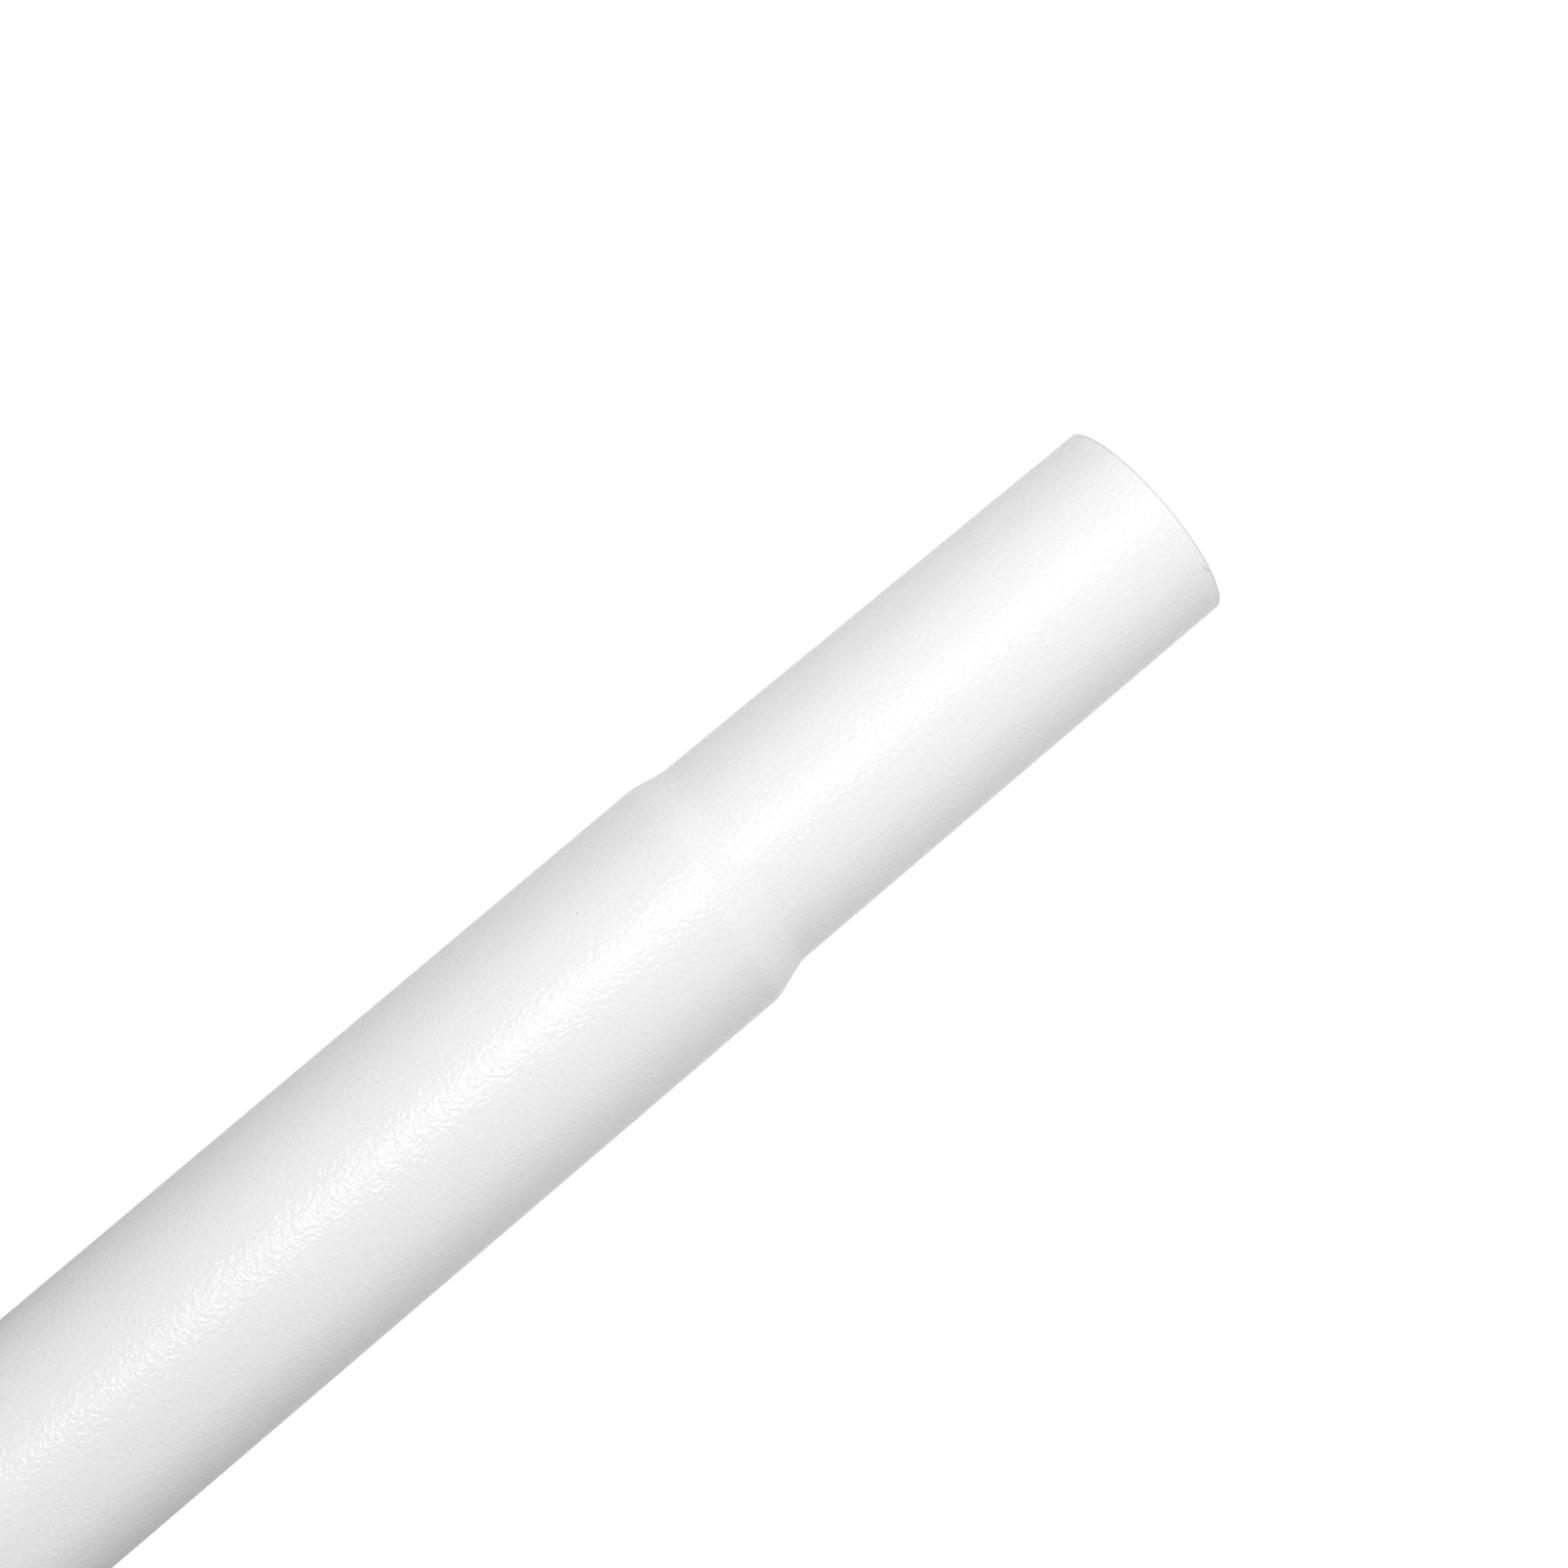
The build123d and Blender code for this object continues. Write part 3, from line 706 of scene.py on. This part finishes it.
def cord_length(number, start, end):
    """One length of the cord, from inside tube `number` to inside the next, stretching across their joint."""
    rings, around = [], 24
    count = max(2, round((end - start) / CORD_STEP))
    for i in range(count + 1):
        x = start + (end - start) * i / count
        rings.append([(x, across, up) for across, up in circle(0.0, 0.0, CORD_R * CORD_SLACK, around)])
    vertices, faces = skinned_rings(rings, closed_along=False)
    faces += [tuple(range(around)), tuple(range(len(vertices) - around, len(vertices)))]
    piece = new_piece(f"cord_length_{number}", vertices, faces, BRAID)
    mark_sharp_turns(piece)
    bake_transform(piece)
    return piece


CORD_LOW, CORD_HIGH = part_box("elastic_cord")
JOINTS_X = [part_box(f"shaft_tube_{k}")[1].x for k in (1, 2, 3)]
CUTS = [CORD_LOW.x, *[(a + b) / 2 for a, b in zip(JOINTS_X, JOINTS_X[1:])], CORD_HIGH.x]
for k in (1, 2, 3):
    length = cord_length(k, CUTS[k - 1], CUTS[k])
    if k == 1:
        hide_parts("elastic_cord")

# ------------------------------------------------------------------ derby handle

TUBE_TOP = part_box("handle_tube")[0].x
# along Y, height of the centre over the tube's top, half height, half thickness
BAR = [
    (-43.0, 4.0, 3.5, 4.5), (-41.0, 5.5, 7.0, 8.5), (-33.0, 11.0, 11.0, 12.5), (-18.0, 18.0, 14.5, 14.5),
    (2.0, 23.0, 15.5, 15.6), (26.0, 25.5, 13.5, 16.6), (50.0, 25.0, 12.0, 16.2), (68.0, 22.0, 12.0, 14.2),
    (79.0, 19.0, 8.5, 9.5), (81.5, 18.3, 4.0, 4.8),
]
# along X from the tube's top, half width, half thickness
NECK = [(14.0, 14.8, 14.8), (6.0, 14.9, 14.7), (-2.0, 15.8, 14.6), (-10.0, 18.5, 14.3), (-20.0, 22.0, 13.0)]
BAR_STEPS, NECK_STEPS, HANDLE_AROUND = 90, 30, 72
SQUARENESS = 0.92
VOXEL = 1.0 * MM
SMOOTHING = 14
EYELET_AROUND = 48
DRILL_REACH = 0.03


def between(stations, share):
    """A smooth value along a list of stations, by Catmull-Rom."""
    place = share * (len(stations) - 1)
    i = min(int(place), len(stations) - 2)
    t = place - i
    p = [stations[min(max(i + k, 0), len(stations) - 1)] for k in (-1, 0, 1, 2)]
    mixed = []
    for a, b, c, d in zip(*p):
        mixed.append(b + 0.5 * t * (c - a + t * (2 * a - 5 * b + 4 * c - d + t * (3 * (b - c) + d - a))))
    return mixed


def squared(a, power):
    """A superellipse's unit point."""
    c, s = cos(a), sin(a)
    return (abs(c) ** power * (1 if c > 0 else -1), abs(s) ** power * (1 if s > 0 else -1))


def derby_handle():
    around = HANDLE_AROUND
    bar = []
    for i in range(BAR_STEPS + 1):
        along, height, half_height, half_thick = between(BAR, i / BAR_STEPS)
        ring = []
        for j in range(around):
            u, v = squared(2 * pi * j / around, SQUARENESS)
            ring.append((TUBE_TOP - (height + half_height * u) * MM, along * MM, half_thick * v * MM))
        bar.append(ring)
    neck = []
    for i in range(NECK_STEPS + 1):
        x, half_y, half_z = between(NECK, i / NECK_STEPS)
        neck.append([(TUBE_TOP + x * MM, half_y * cos(2 * pi * j / around) * MM,
                      half_z * sin(2 * pi * j / around) * MM) for j in range(around)])
    vertices, faces = [], []
    for rings in (bar, neck):
        own, own_faces = skinned_rings(rings, closed_along=False)
        base = len(vertices)
        own_faces += [tuple(range(around)), tuple(range(len(own) - around, len(own)))]
        vertices += own
        faces += [tuple(base + k for k in face) for face in own_faces]
    rough = new_piece("handle_rough", vertices, faces, GRIP)
    outward = bmesh.new()
    outward.from_mesh(rough.data)
    bmesh.ops.recalc_face_normals(outward, faces=outward.faces)
    outward.to_mesh(rough.data)
    outward.free()
    skin = rough.modifiers.new("skin", "REMESH")
    skin.mode = "VOXEL"
    skin.voxel_size = VOXEL
    soften = rough.modifiers.new("soften", "SMOOTH")
    soften.factor = 0.5
    soften.iterations = SMOOTHING
    mesh = bpy.data.meshes.new_from_object(rough.evaluated_get(bpy.context.evaluated_depsgraph_get()))
    bpy.data.objects.remove(rough)
    mesh.name = "derby_handle"
    mesh.materials.clear()
    mesh.materials.append(GRIP)
    handle = bpy.data.objects.new("derby_handle", mesh)
    bpy.context.scene.collection.objects.link(handle)
    bore_eyelet(handle)
    for polygon in handle.data.polygons:
        polygon.use_smooth = True
    mark_sharp_turns(handle)
    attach(handle, "handle")
    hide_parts("handle_grip")


def bore_eyelet(handle):
    """Cuts the eyelet's hole through the handle."""
    low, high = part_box("strap_eyelet")
    x, y, r = (low.x + high.x) / 2, (low.y + high.y) / 2, (high.x - low.x) / 2 + 0.02 * MM
    points = circle(x, y, r, EYELET_AROUND)
    rings = [[(across, along, z) for across, along in points] for z in (-DRILL_REACH, DRILL_REACH)]
    vertices, faces = skinned_rings(rings, closed_along=False)
    faces += [tuple(reversed(range(EYELET_AROUND))), tuple(range(EYELET_AROUND, 2 * EYELET_AROUND))]
    drill = new_piece("drill", vertices, faces, GRIP)
    mark_sharp_turns(drill)
    cut = handle.modifiers.new("cut", "BOOLEAN")
    cut.operation = "DIFFERENCE"
    cut.solver = "EXACT"
    cut.object = drill
    mesh = bpy.data.meshes.new_from_object(handle.evaluated_get(bpy.context.evaluated_depsgraph_get()))
    handle.modifiers.clear()
    handle.data = mesh
    bpy.data.objects.remove(drill)


derby_handle()

# ------------------------------------------------------------------ floor and light

FLOOR_Z = CAD_BOX[0].z
FLOOR_HALF = 6.0
POOL_CENTRE = (-0.038, 0.005, FLOOR_Z)  # what the camera sees
POOL_FULL, POOL_EDGE = 0.115, 0.34
POOL_GLOW, PAPER_GREY, PAPER_GLOW = 1.02, 0.27, 0.54
BOUNCE_CENTRE = (0.030, 0.0, FLOOR_Z)  # what lights the object from below
BOUNCE_FULL, BOUNCE_EDGE = 0.05, 0.25
BOUNCE_NEAR, BOUNCE_FAR = 0.94, 0.35
ROOM = 0.15
SIDE_GLOW = 0.7
GLOW_FROM, GLOW_FULL = -0.75, -1.0  # the Y of the direction
BACKDROP = 0.80


class Graph:
    """Short ways to join shaders, for the floor and the world."""

    def __init__(self, tree):
        self.nodes, self.links = tree.nodes, tree.links
        self.nodes.clear()

    def ramp(self, value, start, end, low, high, shape):
        made = self.nodes.new("ShaderNodeMapRange")
        made.interpolation_type = shape
        self.links.new(value, made.inputs["Value"])
        for key, number in (("From Min", start), ("From Max", end), ("To Min", low), ("To Max", high)):
            made.inputs[key].default_value = number
        return made.outputs["Result"]

    def glow(self, kind, strength):
        """Even white light; the strength is a number or a socket."""
        made = self.nodes.new(kind)
        made.inputs["Color"].default_value = (1, 1, 1, 1)
        if isinstance(strength, bpy.types.NodeSocket):
            self.links.new(strength, made.inputs["Strength"])
        else:
            made.inputs["Strength"].default_value = strength
        return made.outputs[0]

    def mixed(self, share, first, second):
        made = self.nodes.new("ShaderNodeMixShader")
        for source, socket in zip((share, first, second), made.inputs):
            self.links.new(source, socket)
        return made.outputs[0]

    def finish(self, kind, lighting, seen):
        """What lights the object, and what the camera sees in its place."""
        camera_ray = self.nodes.new("ShaderNodeLightPath").outputs["Is Camera Ray"]
        self.links.new(self.mixed(camera_ray, lighting, seen), self.nodes.new(kind).inputs["Surface"])


def light_table():
    """A pale floor that glows: the camera sees a painted pool of light under the bare end, and matt paper
    with a faint glow and soft shadows further out; the floor's glow also lights the object as painted bounce
    light, brightest near the bare end.
    """
    material = bpy.data.materials.new("light_table")
    material.use_nodes = True
    g = Graph(material.node_tree)
    place = g.nodes.new("ShaderNodeTexCoord").outputs["Object"]

    def fade(centre, full, edge, start, end):
        away = g.nodes.new("ShaderNodeVectorMath")
        away.operation = "DISTANCE"
        g.links.new(place, away.inputs[0])
        away.inputs[1].default_value = centre
        return g.ramp(away.outputs["Value"], full, edge, start, end, "SMOOTHERSTEP")

    matt = g.nodes.new("ShaderNodeBsdfDiffuse")
    matt.inputs["Color"].default_value = grey(PAPER_GREY)
    paper = g.nodes.new("ShaderNodeAddShader")
    g.links.new(matt.outputs[0], paper.inputs[0])
    g.links.new(g.glow("ShaderNodeEmission", PAPER_GLOW), paper.inputs[1])
    pool = g.glow("ShaderNodeEmission", POOL_GLOW)
    # painted pool of light: for the camera the floor glows bright white under the bare end
    shown = g.mixed(fade(POOL_CENTRE, POOL_FULL, POOL_EDGE, 0.0, 1.0), pool, paper.outputs[0])
    # painted bounce light: the floor glows to light the object, brighter near the bare end
    bounce = fade(BOUNCE_CENTRE, BOUNCE_FULL, BOUNCE_EDGE, BOUNCE_NEAR, BOUNCE_FAR)
    g.finish("ShaderNodeOutputMaterial", g.glow("ShaderNodeEmission", bounce), shown)
    return material


def floor():
    h = FLOOR_HALF
    corners = [(-h, -h, FLOOR_Z), (h, -h, FLOOR_Z), (h, h, FLOOR_Z), (-h, h, FLOOR_Z)]
    new_piece("floor", corners, [(0, 1, 2, 3)], light_table(), smooth=False)


def soft_light(name, place, size, power, spread=180.0, reflected=True):
    """A rectangular light that points straight down; its size is along X and along Y."""
    data = bpy.data.lights.new(name, "AREA")
    data.shape = "RECTANGLE"
    data.size, data.size_y = size
    data.energy = power
    data.spread = radians(spread)
    light = bpy.data.objects.new(name, data)
    light.location = place
    light.visible_glossy = reflected
    bpy.context.scene.collection.objects.link(light)


def studio_world():
    """Even, dim light with a soft glow from the -Y side; the camera sees a plain pale backdrop instead."""
    world = bpy.data.worlds.new("studio")
    world.use_nodes = True
    g = Graph(world.node_tree)
    way = g.nodes.new("ShaderNodeSeparateXYZ")
    g.links.new(g.nodes.new("ShaderNodeTexCoord").outputs["Generated"], way.inputs[0])
    strength = g.ramp(way.outputs["Y"], GLOW_FROM, GLOW_FULL, ROOM, ROOM + SIDE_GLOW, "SMOOTHSTEP")
    room = g.glow("ShaderNodeBackground", strength)
    g.finish("ShaderNodeOutputWorld", room, g.glow("ShaderNodeBackground", BACKDROP))
    bpy.context.scene.world = world


floor()
studio_world()
soft_light("overhead", (0.055, 0.012, 0.4), (0.29, 0.15), 1.60, reflected=False)
soft_light("strip_end", (0.055, -0.015, 0.8), (0.31, 0.19), 1.7)
soft_light("strip_shaft", (-0.225, -0.015, 0.8), (0.25, 0.19), 0.18)
soft_light("strip_far", (0.40, -0.015, 0.8), (0.38, 0.19), 0.2)
soft_light("overhead_shaft", (-0.68, -0.015, 0.8), (0.62, 0.30), 0.55, spread=45.0)
